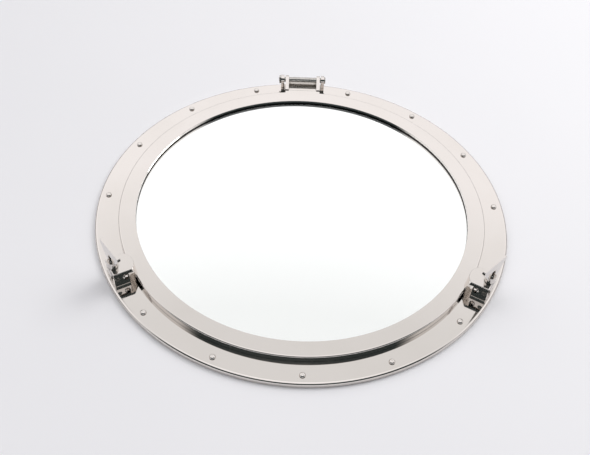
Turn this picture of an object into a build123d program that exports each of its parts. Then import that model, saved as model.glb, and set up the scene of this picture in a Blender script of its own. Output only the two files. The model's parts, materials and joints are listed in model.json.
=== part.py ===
from build123d import *
import os
from math import cos, radians, sin

# Opening porthole: a round flanged frame with a hinged ring that carries a mirror pane, held shut by
# two swing-bolt dogs. Millimetres, +Z up. The back of the frame is the plane Z = 0, its centre is the
# origin, and the hinge is on the +Y side.

# ---- driving dimensions ----
frame_radius = 305.0
frame_inner_radius = 262.0
frame_height = 7.5
rim_round = 4.0

ring_radius = 270.0
ring_sight_radius = 245.0
ring_bottom = 8.0
ring_top = 17.5
ring_shoulder = 2.5
rebate_radius = 250.5
hinge_pad_front = 264.0
lip_thickness = 3.5

pane_radius = 250.0
pane_thickness = 4.0
gasket_thickness = 0.5
gasket_sight_radius = 245.6
backing_thickness = 1.5

retainer_inner_radius = 238.0
retainer_outer_radius = 261.0
retainer_thickness = 2.0
retainer_screw_circle = 256.0
retainer_screw_count = 12
retainer_screw_size = 3.0
retainer_screw_depth = 5.0
retainer_head_radius = 2.9
retainer_head_height = 1.9
retainer_head_round = 0.7

seal_inner_radius = 263.5
seal_outer_radius = 268.5
seal_bottom = 5.5
seal_top = 7.8

rivet_circle = 291.0
rivet_angles = [15.5, 39.0, 62.5, 86.0, 133.0, 156.5]
rivet_shank_radius = 2.5
rivet_head_radius = 4.4
rivet_head_height = 3.4
rivet_dome_radius = 3.1

hinge_pin_y = 293.0
hinge_pin_z = 24.5
hinge_pin_radius = 4.2
hinge_pin_clearance = 0.05
bracket_lug_inner = 31.0
bracket_lug_outer = 36.2
bracket_front = 283.0
bracket_back = 297.5
bracket_base_thickness = 3.0
bracket_lug_radius = 7.5
bracket_screw_x = 14.0
bracket_screw_y = 290.0
bracket_screw_radius = 2.0
bracket_screw_depth = 6.0
countersink_radius = 4.0
countersink_taper = 41.0
screw_slot_width = 1.0
screw_slot_depth = 0.9

leaf_lug_inner = 23.3
leaf_lug_outer = 28.8
leaf_lug_radius = 7.0
leaf_lug_bottom = 12.0
leaf_shoulder_rise = 1.5
leaf_neck_reach = 4.0
leaf_neck_rise = 5.8
leaf_neck_drop = 5.7
leaf_toe_reach = 7.0
leaf_foot_bottom = 9.0
leaf_foot_front = 273.0
leaf_foot_back = 276.5
leaf_web_back = 297.0
leaf_web_thickness = 3.5
leaf_screw_x = 15.0
leaf_screw_z = 11.5
leaf_screw_radius = 1.5
leaf_screw_head_radius = 2.2
leaf_screw_head_height = 1.5
leaf_screw_depth = 10.0
pin_head_radius = 5.6
pin_head_height = 2.2
pin_head_round = 0.8
pin_slot_width = 1.4
pin_slot_depth = 1.2
pin_end_proud = 0.8
pin_end_chamfer = 0.6
pin_nut_width = 11.8
pin_nut_height = 3.2

dog_angles = {"right": -30.1, "left": 208.7}
dog_turns = {"right": -16.0, "left": 9.0}
dog_circle = 295.0
pivot_height = 22.0
pivot_radius = 3.5
pivot_clearance = 0.05
lug_near = 8.0
lug_far = 16.5
lug_inner = -17.0
lug_outer = 4.5
lug_crown = 6.0
lug_draft = 1.8
lug_inner_round = 5.0
lug_outer_round = 1.5
lock_hole_offset = -12.0
lock_hole_radius = 2.6
lock_boss_radius = 4.6
lock_boss_height = 3.2
lock_boss_taper = 24.0
foot_thickness = 3.0
foot_half_length = 18.5
foot_chamfer = 0.9
clevis_screw_offset = 4.0
clevis_screw_x = -3.0
clevis_screw_radius = 1.75
clevis_screw_depth = 6.0
clevis_head_radius = 3.2
clevis_head_depth = 1.4

ear_bottom = 29.0
ear_top = 35.0
ear_half_width = 17.0
ear_draft = 0.8
ear_root = 3.0
ear_root_crest = 263.5
ear_root_corner = 266.0
ear_crest = 266.5
ear_corner = 274.5
ear_foot_back = 270.0
ear_outer_radius = 300.0
ear_edge_round = 1.2
slot_half_width = 5.5

bolt_radius = 4.8
bolt_top = 50.0
bolt_chamfer = 0.9
eye_radius = 6.3
eye_half_length = 7.8
washer_radius = 7.5
washer_thickness = 1.4
nut_release = 0.7
nut_clearance = 0.05
hub_base_radius = 7.4
hub_top_radius = 7.0
hub_height = 9.0
wing_tip_height = 33.5
wing_span = 48.5
wing_thickness = 4.4
wing_root = 6.5
wing_tip_drop = 4.0
wing_tip_slope = 1.0
wing_foot = 2.0
wing_fillet = 1.4
bore_depth = 20.0

keyhole_angles = [55.0, 125.0]
keyhole_circle = 283.0
keyhole_entry_radius = 4.5
keyhole_slot_radius = 2.3
keyhole_slot_length = 9.0
keyhole_pocket_depth = 5.0
keyhole_plate_length = 34.0
keyhole_plate_width = 14.0
keyhole_plate_corner = 2.0
keyhole_plate_thickness = 1.5
keyhole_pocket_width = 10.0
keyhole_pocket_length = 19.0
keyhole_head_depth = 1.1
keyhole_screw_offset = 13.0
keyhole_screw_radius = 1.25
keyhole_screw_depth = 5.0
keyhole_head_radius = 2.4

edge_break = 0.4
flat_head_taper = 45.0
cut_margin = 1.0

# ---- worked out ----
pane_top = ring_top - lip_thickness - gasket_thickness
pane_bottom = pane_top - pane_thickness
backing_bottom = pane_bottom - backing_thickness
bracket_base_top = frame_height + bracket_base_thickness
foot_top = frame_height + foot_thickness
nut_bottom = ear_top + nut_release
ear_overhang = frame_radius - ear_foot_back
lug_top = pivot_height + lug_crown
lug_thickness = lug_far - lug_near
pin_end = bracket_lug_outer + pin_nut_height + pin_end_proud
pivot_half_length = lug_far - lug_draft / 2
clevis_screw_places = [(clevis_screw_x, -clevis_screw_offset), (clevis_screw_x, clevis_screw_offset)]
rivet_places = [90 + side * angle for angle in rivet_angles for side in (1, -1)] + [270]


def finish(part, name):
    """Name a finished piece and write it as its own STEP file."""
    part.label = name
    export_step(part, f"parts/{name}.step")


def dog_plane(angle, height=0.0):
    """A level plane on the dog's bolt axis: x outward from the centre, y along the rim."""
    turn = radians(angle)
    origin = (dog_circle * cos(turn), dog_circle * sin(turn), height)
    return Plane(origin=origin, x_dir=(cos(turn), sin(turn), 0), z_dir=(0, 0, 1))


def dog_side_plane(angle, along):
    """An upright plane across the dog's pivot pin, at a distance along the rim: x outward, y up."""
    turn = radians(angle)
    x = dog_circle * cos(turn) - along * sin(turn)
    y = dog_circle * sin(turn) + along * cos(turn)
    outward = (cos(turn), sin(turn), 0)
    return Plane(origin=(x, y, pivot_height), x_dir=outward, z_dir=(sin(turn), -cos(turn), 0))


def ring_profile(inner, outer, bottom, top):
    """A rectangle in the upright XZ plane, ready to be turned about Z."""
    with Locations(((inner + outer) / 2, (bottom + top) / 2)):
        Rectangle(outer - inner, top - bottom)


def keyhole_plane(angle, height):
    """A level plane on a keyhole hanger, its y pointing up the wall towards the hinge."""
    turn = radians(angle)
    return Plane(origin=(keyhole_circle * cos(turn), keyhole_circle * sin(turn), height))


def ear_outline(crest, corner, half_width):
    """An ear in plan: straight sides and outer edge, and an inner edge crowned towards the centre."""
    outer = ear_outer_radius - dog_circle
    with BuildSketch() as outline:
        with BuildLine():
            Polyline(
                (corner - dog_circle, half_width),
                (outer, half_width),
                (outer, -half_width),
                (corner - dog_circle, -half_width),
            )
            ThreePointArc(
                (corner - dog_circle, -half_width),
                (crest - dog_circle, 0),
                (corner - dog_circle, half_width),
            )
        make_face()
    return outline.sketch


os.makedirs("parts", exist_ok=True)

# ---- frame ----
with BuildPart() as outer_frame:
    with BuildSketch(Plane.XZ):
        ring_profile(frame_inner_radius, frame_radius, 0, frame_height)
    revolve(axis=Axis.Z)
    fillet(outer_frame.edges().group_by(Axis.Z)[-1].sort_by(SortBy.RADIUS)[-1], rim_round)
    chamfer(outer_frame.edges().group_by(Axis.Z)[0], edge_break)
    with BuildSketch(Plane.XZ):
        ring_profile(seal_inner_radius, seal_outer_radius, seal_bottom, frame_height)
    revolve(axis=Axis.Z, mode=Mode.SUBTRACT)
    with BuildSketch():
        for angle in rivet_places:
            with PolarLocations(rivet_circle, 1, start_angle=angle):
                Circle(rivet_shank_radius)
    extrude(amount=frame_height, mode=Mode.SUBTRACT)
    with BuildSketch(Plane.XY.offset(bracket_base_top - bracket_screw_depth)):
        with Locations((-bracket_screw_x, bracket_screw_y), (bracket_screw_x, bracket_screw_y)):
            Circle(bracket_screw_radius)
    extrude(amount=frame_height, mode=Mode.SUBTRACT)
    for angle in dog_angles.values():
        with BuildSketch(dog_plane(angle, foot_top - clevis_screw_depth)):
            with Locations(*clevis_screw_places):
                Circle(clevis_screw_radius)
        extrude(amount=frame_height, mode=Mode.SUBTRACT)
    for angle in keyhole_angles:
        with BuildSketch(keyhole_plane(angle, 0)):
            RectangleRounded(keyhole_plate_width, keyhole_plate_length, keyhole_plate_corner)
        extrude(amount=keyhole_plate_thickness, mode=Mode.SUBTRACT)
        with BuildSketch(keyhole_plane(angle, 0)):
            Rectangle(keyhole_pocket_width, keyhole_pocket_length)
        extrude(amount=keyhole_pocket_depth, mode=Mode.SUBTRACT)
        with BuildSketch(keyhole_plane(angle, 0)):
            with Locations((0, -keyhole_screw_offset), (0, keyhole_screw_offset)):
                Circle(keyhole_screw_radius)
        extrude(amount=keyhole_screw_depth, mode=Mode.SUBTRACT)
finish(outer_frame.part, "outer_frame")

with BuildPart() as frame_rivets:
    for angle in rivet_places:
        place = PolarLocations(rivet_circle, 1, start_angle=angle).locations[0].position
        with BuildSketch(Plane.XY):
            with Locations(place):
                Circle(rivet_shank_radius)
        extrude(amount=frame_height)
        with BuildSketch(Plane.XY.offset(frame_height)):
            with Locations((place.X, place.Y)):
                Circle(rivet_head_radius)
        extrude(amount=rivet_head_height)
    fillet(frame_rivets.edges().group_by(Axis.Z)[-1], rivet_dome_radius)
finish(frame_rivets.part, "frame_rivets")

with BuildPart() as weather_seal:
    with BuildSketch(Plane.XZ):
        ring_profile(seal_inner_radius, seal_outer_radius, seal_bottom, seal_top)
    revolve(axis=Axis.Z)
finish(weather_seal.part, "weather_seal")

with BuildPart() as keyhole_plates:
    for angle in keyhole_angles:
        with BuildSketch(keyhole_plane(angle, 0)):
            RectangleRounded(keyhole_plate_width, keyhole_plate_length, keyhole_plate_corner)
            with Locations((0, -keyhole_slot_length / 2)):
                Circle(keyhole_entry_radius, mode=Mode.SUBTRACT)
            Rectangle(keyhole_slot_radius * 2, keyhole_slot_length, mode=Mode.SUBTRACT)
            with Locations((0, keyhole_slot_length / 2)):
                Circle(keyhole_slot_radius, mode=Mode.SUBTRACT)
            with Locations((0, -keyhole_screw_offset), (0, keyhole_screw_offset)):
                Circle(keyhole_screw_radius, mode=Mode.SUBTRACT)
        extrude(amount=keyhole_plate_thickness)
        for offset in (-keyhole_screw_offset, keyhole_screw_offset):
            with BuildSketch(keyhole_plane(angle, 0)):
                with Locations((0, offset)):
                    Circle(keyhole_head_radius)
            extrude(amount=keyhole_head_depth, taper=flat_head_taper, mode=Mode.SUBTRACT)
finish(keyhole_plates.part, "keyhole_plates")

with BuildPart() as keyhole_screws:
    for angle in keyhole_angles:
        for offset in (-keyhole_screw_offset, keyhole_screw_offset):
            with BuildSketch(keyhole_plane(angle, 0)):
                with Locations((0, offset)):
                    Circle(keyhole_screw_radius)
            extrude(amount=keyhole_screw_depth)
            with BuildSketch(keyhole_plane(angle, 0)):
                with Locations((0, offset)):
                    Circle(keyhole_head_radius)
            extrude(amount=keyhole_head_depth, taper=flat_head_taper)
finish(keyhole_screws.part, "keyhole_screws")

# ---- hinge, fixed half ----
with BuildPart() as hinge_bracket:
    with BuildSketch(Plane.XY.offset(frame_height)):
        with Locations((0, (bracket_front + bracket_back) / 2)):
            Rectangle(bracket_lug_outer * 2, bracket_back - bracket_front)
    extrude(amount=bracket_base_thickness)
    for side in (-1, 1):
        inner_face = side * bracket_lug_inner
        with BuildSketch(Plane.YZ.offset(inner_face)):
            with Locations((hinge_pin_y, hinge_pin_z)):
                Circle(bracket_lug_radius)
            with BuildLine():
                Polyline(
                    (bracket_front, frame_height),
                    (bracket_back, frame_height),
                    (hinge_pin_y + bracket_lug_radius, hinge_pin_z),
                    (hinge_pin_y - bracket_lug_radius, hinge_pin_z),
                    close=True,
                )
            make_face()
        extrude(amount=side * (bracket_lug_outer - bracket_lug_inner))
    with BuildSketch(Plane.YZ):
        with Locations((hinge_pin_y, hinge_pin_z)):
            Circle(hinge_pin_radius)
    extrude(amount=bracket_lug_outer + cut_margin, both=True, mode=Mode.SUBTRACT)
    for x in (-bracket_screw_x, bracket_screw_x):
        with Locations((x, bracket_screw_y, bracket_base_top)):
            CounterSinkHole(bracket_screw_radius, countersink_radius)
finish(hinge_bracket.part, "hinge_bracket")

with BuildPart() as hinge_bracket_screws:
    for x in (-bracket_screw_x, bracket_screw_x):
        with BuildSketch(Plane.XY.offset(bracket_base_top - bracket_screw_depth)):
            with Locations((x, bracket_screw_y)):
                Circle(bracket_screw_radius)
        extrude(amount=bracket_screw_depth)
        with BuildSketch(Plane.XY.offset(bracket_base_top)):
            with Locations((x, bracket_screw_y)):
                Circle(countersink_radius)
        extrude(amount=-(countersink_radius - bracket_screw_radius), taper=countersink_taper)
        with BuildSketch(Plane.XY.offset(bracket_base_top)):
            with Locations((x, bracket_screw_y)):
                Rectangle(countersink_radius * 2, screw_slot_width)
        extrude(amount=-screw_slot_depth, mode=Mode.SUBTRACT)
finish(hinge_bracket_screws.part, "hinge_bracket_screws")

with BuildPart() as hinge_pin:
    with BuildSketch(Plane.YZ.offset(-pin_end)):
        with Locations((hinge_pin_y, hinge_pin_z)):
            Circle(hinge_pin_radius)
    extrude(amount=pin_end + bracket_lug_outer)
    with BuildSketch(Plane.YZ.offset(bracket_lug_outer)):
        with Locations((hinge_pin_y, hinge_pin_z)):
            Circle(pin_head_radius)
    extrude(amount=pin_head_height)
    fillet(hinge_pin.faces().sort_by(Axis.X)[-1].edges(), pin_head_round)
    chamfer(hinge_pin.faces().sort_by(Axis.X)[0].edges(), pin_end_chamfer)
    with BuildSketch(Plane.YZ.offset(bracket_lug_outer + pin_head_height)):
        with Locations((hinge_pin_y, hinge_pin_z)):
            Rectangle(pin_slot_width, pin_head_radius * 2)
    extrude(amount=-pin_slot_depth, mode=Mode.SUBTRACT)
finish(hinge_pin.part, "hinge_pin")

with BuildPart() as hinge_pin_nut:
    with BuildSketch(Plane.YZ.offset(-bracket_lug_outer)):
        with Locations((hinge_pin_y, hinge_pin_z)):
            RegularPolygon(pin_nut_width / 2, 6, major_radius=False)
            Circle(hinge_pin_radius, mode=Mode.SUBTRACT)
    extrude(amount=-pin_nut_height)
    chamfer(hinge_pin_nut.faces().sort_by(Axis.X)[0].outer_wire().edges(), edge_break)
finish(hinge_pin_nut.part, "hinge_pin_nut")

# ---- opening ring ----
with BuildPart() as opening_ring:
    with BuildSketch(Plane.XZ):
        ring_profile(ring_sight_radius, ring_radius, ring_bottom, ring_top)
    revolve(axis=Axis.Z)
    top_edges = opening_ring.edges().group_by(Axis.Z)[-1].sort_by(SortBy.RADIUS)
    fillet(top_edges[-1], ring_shoulder)
    fillet(top_edges[0], edge_break)
    with BuildSketch(Plane.XZ):
        ring_profile(0, rebate_radius, ring_bottom, ring_top - lip_thickness)
    revolve(axis=Axis.Z, mode=Mode.SUBTRACT)
    with BuildSketch(Plane.XY.offset(ring_bottom + edge_break)):
        with Locations((0, (hinge_pad_front + leaf_foot_front) / 2)):
            Rectangle(leaf_lug_outer * 2, leaf_foot_front - hinge_pad_front)
    extrude(amount=ring_top - ring_bottom - edge_break)
    for x in (-leaf_screw_x, leaf_screw_x):
        with BuildSketch(Plane.XZ.offset(-leaf_foot_front)):
            with Locations((x, leaf_screw_z)):
                Circle(leaf_screw_radius)
        extrude(amount=leaf_screw_depth, mode=Mode.SUBTRACT)
    with BuildSketch(Plane.XY.offset(ring_bottom)):
        with PolarLocations(retainer_screw_circle, retainer_screw_count):
            Circle(retainer_screw_size / 2)
    extrude(amount=retainer_screw_depth - retainer_thickness, mode=Mode.SUBTRACT)
finish(opening_ring.part, "opening_ring")

with BuildPart() as hinge_leaf:
    with BuildSketch(Plane.XZ.offset(-leaf_foot_front)):
        with Locations((0, (leaf_foot_bottom + ring_top) / 2)):
            Rectangle(leaf_lug_outer * 2, ring_top - leaf_foot_bottom)
    extrude(amount=leaf_foot_front - leaf_foot_back)
    with BuildSketch(Plane.XY.offset(ring_top)):
        with Locations((0, (leaf_foot_front + leaf_web_back) / 2)):
            Rectangle(leaf_lug_outer * 2, leaf_web_back - leaf_foot_front)
    extrude(amount=-leaf_web_thickness)
    for side in (-1, 1):
        with BuildSketch(Plane.YZ.offset(side * leaf_lug_inner)):
            with Locations((hinge_pin_y, hinge_pin_z)):
                Circle(leaf_lug_radius)
            with BuildLine():
                Polyline(
                    (leaf_foot_front, leaf_foot_bottom),
                    (leaf_foot_front, ring_top + leaf_shoulder_rise),
                    (hinge_pin_y - leaf_neck_reach, hinge_pin_z + leaf_neck_rise),
                    (hinge_pin_y + leaf_neck_reach, hinge_pin_z - leaf_neck_drop),
                    (leaf_foot_back + leaf_toe_reach, leaf_lug_bottom),
                    (leaf_foot_back, leaf_foot_bottom),
                    close=True,
                )
            make_face()
        extrude(amount=side * (leaf_lug_outer - leaf_lug_inner))
    with BuildSketch(Plane.YZ):
        with Locations((hinge_pin_y, hinge_pin_z)):
            Circle(hinge_pin_radius + hinge_pin_clearance)
    extrude(amount=leaf_lug_outer + cut_margin, both=True, mode=Mode.SUBTRACT)
    with BuildSketch(Plane.XZ.offset(-leaf_foot_back)):
        with Locations((-leaf_screw_x, leaf_screw_z), (leaf_screw_x, leaf_screw_z)):
            Circle(leaf_screw_radius)
    extrude(amount=leaf_foot_back - leaf_foot_front, mode=Mode.SUBTRACT)
finish(hinge_leaf.part, "hinge_leaf")

with BuildPart() as hinge_leaf_screws:
    with BuildSketch(Plane.XZ.offset(-leaf_foot_back)):
        with Locations((-leaf_screw_x, leaf_screw_z), (leaf_screw_x, leaf_screw_z)):
            Circle(leaf_screw_radius)
    extrude(amount=leaf_screw_depth + leaf_foot_back - leaf_foot_front)
    with BuildSketch(Plane.XZ.offset(-leaf_foot_back)):
        with Locations((-leaf_screw_x, leaf_screw_z), (leaf_screw_x, leaf_screw_z)):
            Circle(leaf_screw_head_radius)
    extrude(amount=-leaf_screw_head_height)
finish(hinge_leaf_screws.part, "hinge_leaf_screws")

with BuildPart() as mirror_pane:
    with BuildSketch(Plane.XY.offset(pane_bottom)):
        Circle(pane_radius)
    extrude(amount=pane_thickness)
    chamfer(mirror_pane.edges(), edge_break)
finish(mirror_pane.part, "mirror_pane")

with BuildPart() as glazing_gasket:
    with BuildSketch(Plane.XY.offset(pane_top)):
        Circle(pane_radius)
        Circle(gasket_sight_radius, mode=Mode.SUBTRACT)
    extrude(amount=gasket_thickness)
finish(glazing_gasket.part, "glazing_gasket")

with BuildPart() as backing_board:
    with BuildSketch(Plane.XY.offset(backing_bottom)):
        Circle(pane_radius)
    extrude(amount=backing_thickness)
finish(backing_board.part, "backing_board")

with BuildPart() as retaining_ring:
    with BuildSketch(Plane.XY.offset(ring_bottom)):
        Circle(retainer_outer_radius)
        Circle(retainer_inner_radius, mode=Mode.SUBTRACT)
        with PolarLocations(retainer_screw_circle, retainer_screw_count):
            Circle(retainer_screw_size / 2, mode=Mode.SUBTRACT)
    extrude(amount=-retainer_thickness)
finish(retaining_ring.part, "retaining_ring")

with BuildPart() as retaining_screws:
    with BuildSketch(Plane.XY.offset(ring_bottom - retainer_thickness)):
        with PolarLocations(retainer_screw_circle, retainer_screw_count):
            Circle(retainer_screw_size / 2)
    extrude(amount=retainer_screw_depth)
    with BuildSketch(Plane.XY.offset(ring_bottom - retainer_thickness)):
        with PolarLocations(retainer_screw_circle, retainer_screw_count):
            Circle(retainer_head_radius)
    extrude(amount=-retainer_head_height)
    fillet(retaining_screws.edges().group_by(Axis.Z)[0], retainer_head_round)
finish(retaining_screws.part, "retaining_screws")

# ---- dogs: the same seven pieces on each side ----
for side, angle in dog_angles.items():
    with BuildPart() as ear:
        with BuildSketch(dog_plane(angle, ring_top - ear_root)):
            add(ear_outline(ear_root_crest, ear_root_corner, ear_half_width))
        with BuildSketch(dog_plane(angle, ear_top)):
            add(ear_outline(ear_crest, ear_corner, ear_half_width - ear_draft))
        loft()
        fillet(ear.edges().group_by(Axis.Z)[-1], ear_edge_round)
        with BuildSketch(dog_plane(angle, ring_bottom)):
            with Locations((ear_foot_back + ear_overhang / 2 - dog_circle, 0)):
                Rectangle(ear_overhang, ear_half_width * 3)
        extrude(amount=ear_bottom - ring_bottom, mode=Mode.SUBTRACT)
        with BuildSketch(dog_plane(angle, ear_bottom)):
            Circle(slot_half_width)
            with Locations((slot_half_width, 0)):
                Rectangle(slot_half_width * 2, slot_half_width * 2)
        extrude(amount=ear_top - ear_bottom, mode=Mode.SUBTRACT)
        add(opening_ring.part, mode=Mode.SUBTRACT)
    finish(ear.part, f"ring_ear_{side}")

    with BuildPart() as clevis:
        with BuildSketch(dog_plane(angle, frame_height)):
            with Locations(((lug_inner + lug_outer) / 2, 0)):
                Rectangle(lug_outer - lug_inner, foot_half_length * 2)
        extrude(amount=foot_thickness)
        chamfer(clevis.edges().group_by(Axis.Z)[-1], foot_chamfer)
        for end in (-1, 1):
            for height, thickness in ((foot_top, lug_thickness), (lug_top, lug_thickness - lug_draft)):
                with BuildSketch(dog_plane(angle, height)):
                    with Locations(((lug_inner + lug_outer) / 2, end * (lug_near + thickness / 2))):
                        Rectangle(lug_outer - lug_inner, thickness)
            loft()
        for pair, size in ((slice(0, 2), lug_inner_round), (slice(-2, None), lug_outer_round)):
            crown = clevis.edges().group_by(Axis.Z)[-1].filter_by(lambda edge: edge.length < lug_thickness)
            fillet(crown.sort_by_distance((0, 0, lug_top))[pair], size)
        for end in (-1, 1):
            with BuildSketch(dog_side_plane(angle, end * (lug_far - lug_draft))):
                with Locations((lock_hole_offset, 0)):
                    Circle(lock_boss_radius)
            extrude(amount=-end * lock_boss_height, taper=lock_boss_taper)
        with BuildSketch(dog_side_plane(angle, foot_half_length)):
            Circle(pivot_radius)
            with Locations((lock_hole_offset, 0)):
                Circle(lock_hole_radius)
        extrude(amount=foot_half_length * 2, mode=Mode.SUBTRACT)
        with BuildSketch(dog_plane(angle, frame_height)):
            with Locations(*clevis_screw_places):
                Circle(clevis_screw_radius)
        extrude(amount=foot_thickness, mode=Mode.SUBTRACT)
        with BuildSketch(dog_plane(angle, foot_top)):
            with Locations(*clevis_screw_places):
                Circle(clevis_head_radius)
        extrude(amount=-clevis_head_depth, taper=flat_head_taper, mode=Mode.SUBTRACT)
    finish(clevis.part, f"dog_clevis_{side}")

    with BuildPart() as clevis_screws:
        with BuildSketch(dog_plane(angle, foot_top - clevis_screw_depth)):
            with Locations(*clevis_screw_places):
                Circle(clevis_screw_radius)
        extrude(amount=clevis_screw_depth)
        with BuildSketch(dog_plane(angle, foot_top)):
            with Locations(*clevis_screw_places):
                Circle(clevis_head_radius)
        extrude(amount=-clevis_head_depth, taper=flat_head_taper)
    finish(clevis_screws.part, f"dog_clevis_screws_{side}")

    with BuildPart() as pivot:
        with BuildSketch(dog_side_plane(angle, pivot_half_length)):
            Circle(pivot_radius)
        extrude(amount=pivot_half_length * 2)
    finish(pivot.part, f"dog_pivot_{side}")

    with BuildPart() as bolt:
        with BuildSketch(dog_side_plane(angle, eye_half_length)):
            Circle(eye_radius)
        extrude(amount=eye_half_length * 2)
        with BuildSketch(dog_plane(angle, pivot_height)):
            Circle(bolt_radius)
        extrude(amount=bolt_top - pivot_height)
        chamfer(bolt.faces().sort_by(Axis.Z)[-1].edges(), bolt_chamfer)
        with BuildSketch(dog_side_plane(angle, eye_half_length)):
            Circle(pivot_radius + pivot_clearance)
        extrude(amount=eye_half_length * 2, mode=Mode.SUBTRACT)
    finish(bolt.part, f"dog_bolt_{side}")

    with BuildPart() as washer:
        with BuildSketch(dog_plane(angle, nut_bottom)):
            Circle(washer_radius)
            Circle(bolt_radius + nut_clearance, mode=Mode.SUBTRACT)
        extrude(amount=washer_thickness)
    finish(washer.part, f"dog_washer_{side}")

    with BuildPart() as nut:
        seat = dog_plane(angle + dog_turns[side], 0)
        centre = dog_plane(angle, nut_bottom + washer_thickness)
        with BuildSketch(centre):
            Circle(hub_base_radius)
        with BuildSketch(centre.offset(hub_height)):
            Circle(hub_top_radius)
        loft()
        wing_plane = Plane(origin=centre.origin, x_dir=seat.y_dir, z_dir=seat.x_dir)
        with BuildSketch(wing_plane.offset(-wing_thickness / 2)):
            with BuildLine():
                half = wing_span / 2
                FilletPolyline(
                    (wing_root, wing_foot),
                    (half, wing_tip_height - wing_tip_drop),
                    (half - wing_tip_slope, wing_tip_height),
                    (wing_tip_slope - half, wing_tip_height),
                    (-half, wing_tip_height - wing_tip_drop),
                    (-wing_root, wing_foot),
                    radius=wing_fillet,
                    close=True,
                )
            make_face()
        extrude(amount=wing_thickness)
        with BuildSketch(centre):
            Circle(bolt_radius + nut_clearance)
        extrude(amount=bore_depth, mode=Mode.SUBTRACT)
    finish(nut.part, f"wing_nut_{side}")
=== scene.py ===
import json
from math import cos, pi, radians, sin

import bmesh
import bpy
from mathutils import Matrix, Vector


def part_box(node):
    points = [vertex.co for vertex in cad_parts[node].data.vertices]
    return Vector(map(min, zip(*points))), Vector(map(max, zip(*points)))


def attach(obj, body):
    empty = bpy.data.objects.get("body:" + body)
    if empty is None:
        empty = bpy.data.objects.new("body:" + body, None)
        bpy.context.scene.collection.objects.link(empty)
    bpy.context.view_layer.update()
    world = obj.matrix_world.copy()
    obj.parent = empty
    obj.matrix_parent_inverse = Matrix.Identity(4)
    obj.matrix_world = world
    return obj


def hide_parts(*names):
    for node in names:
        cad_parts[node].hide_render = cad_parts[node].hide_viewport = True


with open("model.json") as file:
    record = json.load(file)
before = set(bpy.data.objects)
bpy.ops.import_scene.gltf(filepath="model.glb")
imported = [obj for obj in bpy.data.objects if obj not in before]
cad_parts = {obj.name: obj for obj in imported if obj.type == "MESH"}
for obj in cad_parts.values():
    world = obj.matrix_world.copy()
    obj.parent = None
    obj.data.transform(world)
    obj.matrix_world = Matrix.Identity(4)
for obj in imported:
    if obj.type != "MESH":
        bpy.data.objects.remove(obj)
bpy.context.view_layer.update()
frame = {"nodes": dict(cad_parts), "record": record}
nodes = frame["nodes"]

# Opening porthole with a mirror pane, in polished nickel. Metres, in the row frame: the back of the
# frame is Z = 0 and the hinge is towards +Y.

MM = 0.001

# ---- floor and camera ----
FLOOR_SIZE = 30.0
FLOOR_DROP = 0.2 * MM
IMAGE_WIDTH = 590
SENSOR_WIDTH = 36.0
FOCAL_PIXELS = 900.0
CAMERA_ELEVATION = radians(47.07)
CAMERA_TURN = radians(-2.15)
CAMERA_ROLL = radians(3.33)
CAMERA_DISTANCE = 1.330
CAMERA_TARGET = Vector((-0.0094, -0.0278, 0.0))

# ---- window light ----
WINDOW_PLACE = Vector((1.3, 0.9, 1.7))
WINDOW_SIZE = 1.2
WINDOW_POWER = 16.0
WINDOW_COLOUR = (1.0, 0.995, 0.98)

# ---- room: colours by the height of a direction, from 0 at the horizon to 1 straight up ----
ROOM_WHITE = (1.0, 0.985, 0.995)
ROOM_GREY = (0.77, 0.765, 0.765)
ROOM_DARK = (0.042, 0.052, 0.054)
ROOM_LOW = (0.085, 0.080, 0.072)
BACK_BANDS = (
    (0.0, ROOM_LOW),
    (0.14, ROOM_LOW),
    (0.32, ROOM_WHITE),
    (0.68, ROOM_WHITE),
    (0.79, ROOM_GREY),
    (0.84, ROOM_GREY),
    (0.92, ROOM_WHITE),
)
FRONT_BANDS = (
    (0.0, ROOM_WHITE),
    (0.10, ROOM_WHITE),
    (0.22, ROOM_DARK),
    (0.83, ROOM_DARK),
    (0.90, ROOM_WHITE),
)
FRONT_EDGE = (0.05, 0.40)
FRONT = (0.0, -1.0, 0.0)
ROOM_STRENGTH = 1.25

# ---- finishes ----
GRAIN_AROUND = 14.0
GRAIN_ACROSS = 2600.0
GRAIN_CAST = 900.0
GRAIN_DEPTH = 0.0022 * MM
POLISH_TURNED = 0.030
POLISH_CAST = 0.045
POLISH_SPREAD = 0.04
WAVES_TURNED = 0.03 * MM
WAVES_CAST = 0.04 * MM
# Reach of the ambient-occlusion masks that paint shade into corners and slots, and the extra roughness of
# cast metal there
SHADE_AND_DULL_REACH = 5 * MM
CREVICE_DULL_ROUGHNESS = 0.3
SLOT_SHADE_REACH = 2.5 * MM
STEEL_ROUGHNESS = 0.16
ZINC_ROUGHNESS = 0.30
PLATE_SPREAD = 0.14
STEEL_GRAIN = 0.01 * MM
ZINC_GRAIN = 0.02 * MM
SILVER_WAVES = 0.01 * MM
RUBBER_GRAIN = 0.08 * MM
BOARD_GRAIN = 0.15 * MM
FLOOR_ROUGHNESS = 0.6
GLASS_IOR = 1.5

# ---- colours, linear ----
NICKEL = (0.700, 0.665, 0.635)
NICKEL_DULL = (0.610, 0.570, 0.525)
# painted shade colour for corners and slots
CREVICE_SHADE = (0.250, 0.225, 0.190)
STEEL = (0.560, 0.545, 0.520)
STEEL_DULL = (0.420, 0.400, 0.370)
ZINC = (0.600, 0.610, 0.625)
ZINC_DULL = (0.450, 0.460, 0.480)
SILVER = (0.965, 0.972, 0.970)
GLASS = (0.990, 0.998, 0.994)
RUBBER = (0.012, 0.013, 0.012)
RUBBER_WORN = (0.035, 0.036, 0.034)
HARDBOARD = (0.235, 0.140, 0.075)
HARDBOARD_DARK = (0.150, 0.082, 0.042)
FLOOR = (0.850, 0.850, 0.874)
FLOOR_SHADE = (0.832, 0.832, 0.857)

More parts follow.
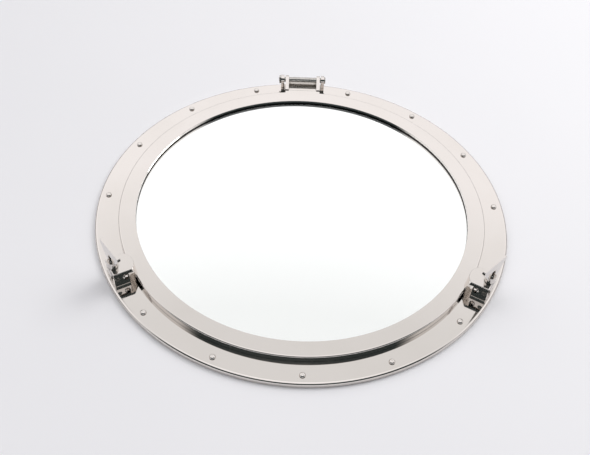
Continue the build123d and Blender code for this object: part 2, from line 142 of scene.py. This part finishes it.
# ---- turned parts ----
TURN_STEPS = 360
ROUND_STEPS = 10
BEVEL_STEPS = 3
SHARP_ANGLE = radians(30)
HAIR = 0.02 * MM
FRAME_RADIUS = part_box("outer_frame")[1].x
FRAME_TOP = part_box("outer_frame")[1].z
FRAME_INNER = 262 * MM
FRAME_ROUND = 4 * MM
SEAL_SLOT = (263.5 * MM, 268.5 * MM, 5.5 * MM)
RING_RADIUS = 270 * MM
RING_SIGHT = 245 * MM
RING_REBATE = 250.5 * MM
RING_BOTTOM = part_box("opening_ring")[0].z
RING_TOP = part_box("opening_ring")[1].z
RING_LIP = 3.5 * MM
RING_SHOULDER = 2.5 * MM
EDGE_BREAK = 0.4 * MM
PAD_HALF_WIDTH = 28.8 * MM
PAD_FRONT = 264 * MM
PAD_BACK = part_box("opening_ring")[1].y
PANE_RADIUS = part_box("mirror_pane")[1].x
PANE_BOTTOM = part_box("mirror_pane")[0].z
PANE_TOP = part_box("mirror_pane")[1].z
SILVER_THICKNESS = 0.1 * MM
SILVER_GAP = 0.05 * MM
KEYHOLE_ANGLES = (55.0, 125.0)
KEYHOLE_CIRCLE = 283 * MM
KEYHOLE_RECESSES = ((14 * MM, 34 * MM, 1.5 * MM, 2 * MM), (10 * MM, 19 * MM, 5 * MM, 0.5 * MM))


# ---- materials ----
class Graph:
    """A material's node tree, with short calls to add nodes and join them."""

    def __init__(self, name):
        self.material = bpy.data.materials.new(name)
        self.material.use_nodes = True
        self.tree = self.material.node_tree
        self.tree.nodes.clear()
        self.output = self.add("ShaderNodeOutputMaterial")
        self.place = self.add("ShaderNodeTexCoord").outputs["Object"]

    def add(self, kind, **settings):
        node = self.tree.nodes.new(kind)
        for key, value in settings.items():
            setattr(node, key, value)
        return node

    def join(self, source, target):
        self.tree.links.new(source, target)

    def noise(self, scale, detail=3.0, roughness=0.5, vector=None):
        node = self.add("ShaderNodeTexNoise")
        node.inputs["Scale"].default_value = scale
        node.inputs["Detail"].default_value = detail
        node.inputs["Roughness"].default_value = roughness
        self.join(vector or self.place, node.inputs["Vector"])
        return node.outputs["Fac"]

    def span(self, value, low, high, start=0.3, end=0.7):
        """The part of value between start and end, stretched to run from low to high."""
        node = self.add("ShaderNodeMapRange")
        node.inputs["From Min"].default_value = start
        node.inputs["From Max"].default_value = end
        node.inputs["To Min"].default_value = low
        node.inputs["To Max"].default_value = high
        self.join(value, node.inputs["Value"])
        return node.outputs["Result"]

    def maths(self, operation, first, second=None):
        """A sum of sockets and plain numbers."""
        node = self.add("ShaderNodeMath", operation=operation)
        for socket, value in zip(node.inputs, (first, second)):
            if value is None:
                continue
            if isinstance(value, (int, float)):
                socket.default_value = value
            else:
                self.join(value, socket)
        return node.outputs["Value"]

    def blend(self, factor, first, second):
        node = self.add("ShaderNodeMix", data_type="RGBA")
        self.join(factor, node.inputs["Factor"])
        for name, colour in (("A", first), ("B", second)):
            if isinstance(colour, tuple):
                node.inputs[name].default_value = (*colour, 1.0)
            else:
                self.join(colour, node.inputs[name])
        return node.outputs["Result"]

    def bump(self, height, distance, normal=None):
        node = self.add("ShaderNodeBump")
        node.inputs["Distance"].default_value = distance
        self.join(height, node.inputs["Height"])
        if normal:
            self.join(normal, node.inputs["Normal"])
        return node.outputs["Normal"]

    def crevices(self, reach):
        """0 in the open and 1 deep in a corner or a slot, by ambient occlusion: the mask for painted
        shade.
        """
        node = self.add("ShaderNodeAmbientOcclusion", samples=6)
        node.inputs["Distance"].default_value = reach
        return self.span(node.outputs["AO"], 1.0, 0.0, 0.25, 0.75)

    def polar(self, radial_scale, turn_scale):
        """Object position as (distance from the Z axis, angle about it, height), each scaled."""
        split = self.add("ShaderNodeSeparateXYZ")
        self.join(self.place, split.inputs["Vector"])
        x, y, z = split.outputs
        squares = self.maths("ADD", self.maths("MULTIPLY", x, x), self.maths("MULTIPLY", y, y))
        reach = self.maths("SQRT", squares)
        pack = self.add("ShaderNodeCombineXYZ")
        self.join(self.maths("MULTIPLY", reach, radial_scale), pack.inputs["X"])
        self.join(self.maths("MULTIPLY", self.maths("ARCTAN2", y, x), turn_scale), pack.inputs["Y"])
        self.join(self.maths("MULTIPLY", z, radial_scale), pack.inputs["Z"])
        return pack.outputs["Vector"]

    def surface(self, metallic=0.0, **links):
        """The shader, with each named input a plain number or a socket to read."""
        shader = self.add("ShaderNodeBsdfPrincipled")
        shader.inputs["Metallic"].default_value = metallic
        for name, value in links.items():
            socket = shader.inputs[name.replace("_", " ")]
            if isinstance(value, (int, float)):
                socket.default_value = value
            else:
                self.join(value, socket)
        self.join(shader.outputs["BSDF"], self.output.inputs["Surface"])
        return shader


def polished_nickel(name, turned_part, polish, waves):
    """Polished plate with buffing streaks, slow waves and dulled patches; castings have painted shade in
    their corners, where the metal is also rougher.
    """
    graph = Graph(name)
    dulling = graph.span(graph.noise(scale=9.0, detail=4.0, roughness=0.6), 0.0, 0.35, 0.45, 0.85)
    colour = graph.blend(dulling, NICKEL, NICKEL_DULL)
    if turned_part:
        around = graph.polar(radial_scale=GRAIN_ACROSS, turn_scale=GRAIN_AROUND)
        streaks = graph.noise(scale=1.0, roughness=0.6, vector=around)
    else:
        streaks = graph.noise(scale=GRAIN_CAST, roughness=0.6)
    haze = graph.span(graph.noise(scale=55.0, detail=4.0, roughness=0.6), 0.0, 0.02)
    rough = graph.maths("ADD", graph.span(streaks, polish, polish + POLISH_SPREAD), haze)
    if not turned_part:
        # Painted shade: occlusion darkens the colour in corners; the same mask makes the cast metal
        # rougher there.
        shade_and_dullness = graph.crevices(SHADE_AND_DULL_REACH)
        colour = graph.blend(shade_and_dullness, colour, CREVICE_SHADE)
        rough = graph.maths("ADD", rough, graph.maths("MULTIPLY", shade_and_dullness, CREVICE_DULL_ROUGHNESS))
    normal = graph.bump(graph.noise(scale=16.0, detail=1.0, roughness=0.4), waves)
    normal = graph.bump(streaks, GRAIN_DEPTH, normal)
    graph.surface(metallic=1.0, Base_Color=colour, Roughness=rough, Normal=normal)
    return graph.material


def plated_steel(name, bright, dull, rough, grain):
    """Zinc or steel plate with a fine mottled grain, and painted shade darkening its slots."""
    graph = Graph(name)
    mottle = graph.noise(scale=160.0, detail=4.0, roughness=0.65)
    colour = graph.blend(graph.span(mottle, 0.0, 1.0, 0.4, 0.75), bright, dull)
    # Painted shade: occlusion darkens the colour in slots and corners.
    colour = graph.blend(graph.crevices(SLOT_SHADE_REACH), colour, CREVICE_SHADE)
    roughness = graph.span(mottle, rough, rough + PLATE_SPREAD)
    normal = graph.bump(graph.noise(scale=2200.0, detail=2.0, roughness=0.5), grain)
    graph.surface(metallic=1.0, Base_Color=colour, Roughness=roughness, Normal=normal)
    return graph.material


def silver_film():
    """The silvering on the back of the glass, very slightly uneven."""
    graph = Graph("silver_film")
    haze = graph.span(graph.noise(scale=7.0, detail=5.0, roughness=0.7), 0.0, 0.01, 0.5, 0.8)
    normal = graph.bump(graph.noise(scale=5.0, detail=1.0, roughness=0.3), SILVER_WAVES)
    shader = graph.surface(metallic=1.0, Roughness=haze, Normal=normal)
    shader.inputs["Base Color"].default_value = (*SILVER, 1.0)
    return graph.material


def float_glass():
    """Clear glass in front of the silvering, with a few faint wiping smears."""
    graph = Graph("float_glass")
    smears = graph.span(graph.noise(scale=7.0, detail=5.0, roughness=0.7), 0.0, 0.006, 0.5, 0.8)
    shader = graph.surface(Roughness=smears, IOR=GLASS_IOR)
    shader.inputs["Transmission Weight"].default_value = 1.0
    shader.inputs["Base Color"].default_value = (*GLASS, 1.0)
    return graph.material


def black_rubber():
    """Matt rubber, slightly worn in patches."""
    graph = Graph("black_rubber")
    mottle = graph.noise(scale=240.0, detail=4.0, roughness=0.6)
    colour = graph.blend(graph.span(mottle, 0.0, 0.6, 0.4, 0.8), RUBBER, RUBBER_WORN)
    normal = graph.bump(mottle, RUBBER_GRAIN)
    graph.surface(Base_Color=colour, Roughness=graph.span(mottle, 0.55, 0.75), Normal=normal)
    return graph.material


def hardboard():
    """Brown fibre board with fine fibres and darker patches."""
    graph = Graph("hardboard")
    fibres = graph.noise(scale=420.0, detail=6.0, roughness=0.7)
    patches = graph.span(graph.noise(scale=14.0, detail=3.0, roughness=0.5), 0.6, 1.0)
    mixed = graph.maths("MULTIPLY", graph.span(fibres, 0.3, 1.0, 0.3, 0.75), patches)
    colour = graph.blend(mixed, HARDBOARD, HARDBOARD_DARK)
    normal = graph.bump(fibres, BOARD_GRAIN)
    graph.surface(Base_Color=colour, Roughness=graph.span(fibres, 0.6, 0.8), Normal=normal)
    return graph.material


def floor_paint():
    """Plain pale paint with very faint clouds."""
    graph = Graph("floor")
    cloud = graph.span(graph.noise(scale=1.6, detail=3.0, roughness=0.5), 0.0, 1.0)
    graph.surface(Base_Color=graph.blend(cloud, FLOOR, FLOOR_SHADE), Roughness=FLOOR_ROUGHNESS)
    return graph.material


# ---- shapes ----
def arc(radius, height, size, start, end):
    """Points on a quarter round about (radius, height), from one angle to another, in degrees."""
    turns = [radians(start + (end - start) * step / ROUND_STEPS) for step in range(ROUND_STEPS + 1)]
    return [(radius + size * cos(turn), height + size * sin(turn)) for turn in turns]


def as_object(name, build):
    """A piece from a bmesh, shaded smooth except across its sharp edges."""
    bmesh.ops.recalc_face_normals(build, faces=build.faces)
    mesh = bpy.data.meshes.new(name)
    build.to_mesh(mesh)
    build.free()
    mesh.shade_smooth()
    mesh.set_sharp_from_angle(angle=SHARP_ANGLE)
    piece = bpy.data.objects.new(name, mesh)
    bpy.context.scene.collection.objects.link(piece)
    return piece


def turned(name, outline):
    """A ring turned about Z from a closed outline of (radius, height) points."""
    build = bmesh.new()
    rings = []
    for step in range(TURN_STEPS):
        turn = 2 * pi * step / TURN_STEPS
        rings.append([build.verts.new((r * cos(turn), r * sin(turn), z)) for r, z in outline])
    for near, far in zip(rings, rings[1:] + rings[:1]):
        for first in range(len(outline)):
            second = (first + 1) % len(outline)
            build.faces.new((near[first], near[second], far[second], far[first]))
    return as_object(name, build)


def disc(name, radius, low, high, bevel):
    """A round plate on the Z axis with small rounded edges."""
    build = bmesh.new()
    middle = Matrix.Translation((0.0, 0.0, (low + high) / 2))
    bmesh.ops.create_cone(
        build,
        cap_ends=True,
        segments=TURN_STEPS,
        radius1=radius,
        radius2=radius,
        depth=high - low,
        matrix=middle,
    )
    if bevel:
        rims = [edge for edge in build.edges if abs(edge.verts[0].co.z - edge.verts[1].co.z) < bevel]
        bmesh.ops.bevel(
            build, geom=rims, offset=bevel, segments=BEVEL_STEPS - 1, affect="EDGES", profile=0.5
        )
    return as_object(name, build)


def block(name, low, high, bevel):
    """A box between two corners with rounded edges."""
    build = bmesh.new()
    bmesh.ops.create_cube(build, size=1.0)
    size = Vector(high) - Vector(low)
    for vert in build.verts:
        vert.co = Vector(low) + Vector([(c + 0.5) * s for c, s in zip(vert.co, size)])
    bmesh.ops.bevel(
        build, geom=build.edges, offset=bevel, segments=BEVEL_STEPS, affect="EDGES", profile=0.5
    )
    return as_object(name, build)


def frame_outline():
    """The flange in section, with its rounded rim and the groove for the seal."""
    seal_in, seal_out, seal_floor = SEAL_SLOT
    rim = FRAME_RADIUS - FRAME_ROUND
    return [
        (FRAME_INNER + EDGE_BREAK, HAIR),
        (FRAME_RADIUS - EDGE_BREAK, HAIR),
        (FRAME_RADIUS, EDGE_BREAK),
        *arc(rim, FRAME_TOP - FRAME_ROUND, FRAME_ROUND, 0, 90),
        (seal_out, FRAME_TOP),
        (seal_out, seal_floor),
        (seal_in, seal_floor),
        (seal_in, FRAME_TOP),
        (FRAME_INNER, FRAME_TOP),
        (FRAME_INNER, EDGE_BREAK),
    ]


def ring_outline():
    """The opening ring in section, with its shoulder and the rebate for the mirror."""
    shoulder = RING_RADIUS - RING_SHOULDER
    return [
        (RING_REBATE, RING_BOTTOM),
        (RING_RADIUS, RING_BOTTOM),
        *arc(shoulder, RING_TOP - RING_SHOULDER, RING_SHOULDER, 0, 90),
        *arc(RING_SIGHT + EDGE_BREAK, RING_TOP - EDGE_BREAK, EDGE_BREAK, 90, 180),
        (RING_SIGHT, RING_TOP - RING_LIP),
        (RING_REBATE, RING_TOP - RING_LIP),
    ]


def cut_recesses(piece):
    """Lets the keyhole plates into the back of the frame."""
    for width, length, depth, corner in KEYHOLE_RECESSES:
        for angle in KEYHOLE_ANGLES:
            x = KEYHOLE_CIRCLE * cos(radians(angle))
            y = KEYHOLE_CIRCLE * sin(radians(angle))
            low = (x - width / 2, y - length / 2, -depth)
            high = (x + width / 2, y + length / 2, depth)
            cutter = block("cutter", low, high, min(corner, depth / 2))
            hole = piece.modifiers.new("recess", "BOOLEAN")
            hole.object = cutter
            with bpy.context.temp_override(object=piece, active_object=piece):
                bpy.ops.object.modifier_apply(modifier=hole.name)
            bpy.data.objects.remove(cutter)


# ---- floor, camera and lights ----
def add_floor():
    bpy.ops.mesh.primitive_plane_add(size=FLOOR_SIZE, location=(0.0, 0.0, -FLOOR_DROP))
    floor = bpy.context.object
    floor.name = "floor"
    floor.data.materials.append(floor_paint())


def add_camera():
    data = bpy.data.cameras.new("camera")
    data.sensor_width = SENSOR_WIDTH
    data.lens = FOCAL_PIXELS / IMAGE_WIDTH * SENSOR_WIDTH
    camera = bpy.data.objects.new("camera", data)
    bpy.context.scene.collection.objects.link(camera)
    spin = Matrix.Rotation(CAMERA_TURN, 4, "Z")
    tilt = Matrix.Rotation(pi / 2 - CAMERA_ELEVATION, 4, "X")
    roll = Matrix.Rotation(CAMERA_ROLL, 4, "Z")
    back = Vector((0.0, -cos(CAMERA_ELEVATION), sin(CAMERA_ELEVATION))) * CAMERA_DISTANCE
    camera.matrix_world = spin @ Matrix.Translation(CAMERA_TARGET + back) @ tilt @ roll
    bpy.context.scene.camera = camera


def add_window():
    """A soft panel light that faces the porthole and stays out of its reflections."""
    light = bpy.data.lights.new("window", "AREA")
    light.shape = "SQUARE"
    light.size = WINDOW_SIZE
    light.energy = WINDOW_POWER
    light.color = WINDOW_COLOUR
    lamp = bpy.data.objects.new("window", light)
    bpy.context.scene.collection.objects.link(lamp)
    aim = (-WINDOW_PLACE).to_track_quat("-Z", "Y").to_matrix().to_4x4()
    lamp.matrix_world = Matrix.Translation(WINDOW_PLACE) @ aim
    lamp.visible_glossy = False


def add_room():
    """A white room with a grey band high at the back, a dark horizon there and a dark band in front."""
    world = bpy.data.worlds.new("room")
    bpy.context.scene.world = world
    world.use_nodes = True
    tree = world.node_tree
    tree.nodes.clear()

    def add(kind, **settings):
        node = tree.nodes.new(kind)
        for key, value in settings.items():
            setattr(node, key, value)
        return node

    def bands(stops):
        """Colours by the height of a direction, from the horizon at 0 to straight up at 1."""
        ramp = add("ShaderNodeValToRGB")
        elements = ramp.color_ramp.elements
        elements.remove(elements[1])
        elements[0].position = stops[0][0]
        for position, _ in stops[1:]:
            elements.new(position)
        for element, (_, colour) in zip(elements, stops):
            element.color = (*colour, 1.0)
        tree.links.new(split.outputs["Z"], ramp.inputs["Fac"])
        return ramp.outputs["Color"]

    split = add("ShaderNodeSeparateXYZ")
    tree.links.new(add("ShaderNodeTexCoord").outputs["Generated"], split.inputs["Vector"])
    level = add("ShaderNodeCombineXYZ")
    tree.links.new(split.outputs["X"], level.inputs["X"])
    tree.links.new(split.outputs["Y"], level.inputs["Y"])
    unit = add("ShaderNodeVectorMath", operation="NORMALIZE")
    tree.links.new(level.outputs["Vector"], unit.inputs[0])
    towards = add("ShaderNodeVectorMath", operation="DOT_PRODUCT")
    tree.links.new(unit.outputs["Vector"], towards.inputs[0])
    towards.inputs[1].default_value = FRONT
    edge = add("ShaderNodeMapRange", interpolation_type="SMOOTHSTEP")
    edge.inputs["From Min"].default_value, edge.inputs["From Max"].default_value = FRONT_EDGE
    tree.links.new(towards.outputs["Value"], edge.inputs["Value"])
    mix = add("ShaderNodeMix", data_type="RGBA")
    tree.links.new(edge.outputs["Result"], mix.inputs["Factor"])
    tree.links.new(bands(BACK_BANDS), mix.inputs["A"])
    tree.links.new(bands(FRONT_BANDS), mix.inputs["B"])
    background = add("ShaderNodeBackground")
    background.inputs["Strength"].default_value = ROOM_STRENGTH
    tree.links.new(mix.outputs["Result"], background.inputs["Color"])
    output = add("ShaderNodeOutputWorld")
    tree.links.new(background.outputs["Background"], output.inputs["Surface"])


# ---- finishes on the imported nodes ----
turned_nickel = polished_nickel("turned_nickel", True, POLISH_TURNED, WAVES_TURNED)
cast_nickel = polished_nickel("cast_nickel", False, POLISH_CAST, WAVES_CAST)
steel = plated_steel("bright_steel", STEEL, STEEL_DULL, STEEL_ROUGHNESS, STEEL_GRAIN)
zinc = plated_steel("zinc_plate", ZINC, ZINC_DULL, ZINC_ROUGHNESS, ZINC_GRAIN)
silver = silver_film()
glass = float_glass()
rubber = black_rubber()
board = hardboard()

FINISHES = {
    "polished_nickel": cast_nickel,
    "bright_steel": steel,
    "zinc_plate": zinc,
    "mirror_glass": silver,
    "black_rubber": rubber,
    "backing_board": board,
}

for part in frame["record"]["subparts"]:
    piece = nodes[part["node"]]
    piece.data.materials.clear()
    piece.data.materials.append(FINISHES[part["material_slot"]])

# ---- smooth pieces in place of the faceted ones ----
flange = turned("flange", frame_outline())
cut_recesses(flange)
sash_ring = turned("sash_ring", ring_outline())
pad_low = (-PAD_HALF_WIDTH, PAD_FRONT, RING_BOTTOM + EDGE_BREAK)
hinge_pad = block("hinge_pad", pad_low, (PAD_HALF_WIDTH, PAD_BACK, RING_TOP - HAIR), EDGE_BREAK)
film_top = PANE_BOTTOM + SILVER_THICKNESS
mirror_film = disc("mirror_film", PANE_RADIUS, PANE_BOTTOM, film_top, 0.0)
mirror_face = disc("mirror_face", PANE_RADIUS, film_top + SILVER_GAP, PANE_TOP, EDGE_BREAK)
for piece, body, node, finish, slot in (
    (flange, "frame", "outer_frame", turned_nickel, "polished_nickel"),
    (sash_ring, "sash", "opening_ring", turned_nickel, "polished_nickel"),
    (hinge_pad, "sash", "opening_ring", turned_nickel, "polished_nickel"),
    (mirror_film, "sash", "mirror_pane", silver, "mirror_glass"),
    (mirror_face, "sash", "mirror_pane", glass, "mirror_glass"),
):
    piece.data.materials.append(finish)
    shading = piece.modifiers.new("even_shading", "WEIGHTED_NORMAL")
    shading.keep_sharp = True
    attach(piece, body)
    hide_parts(node)

# ---- setting ----
add_floor()
add_camera()
add_room()
add_window()
bpy.context.scene.view_settings.view_transform = "Standard"
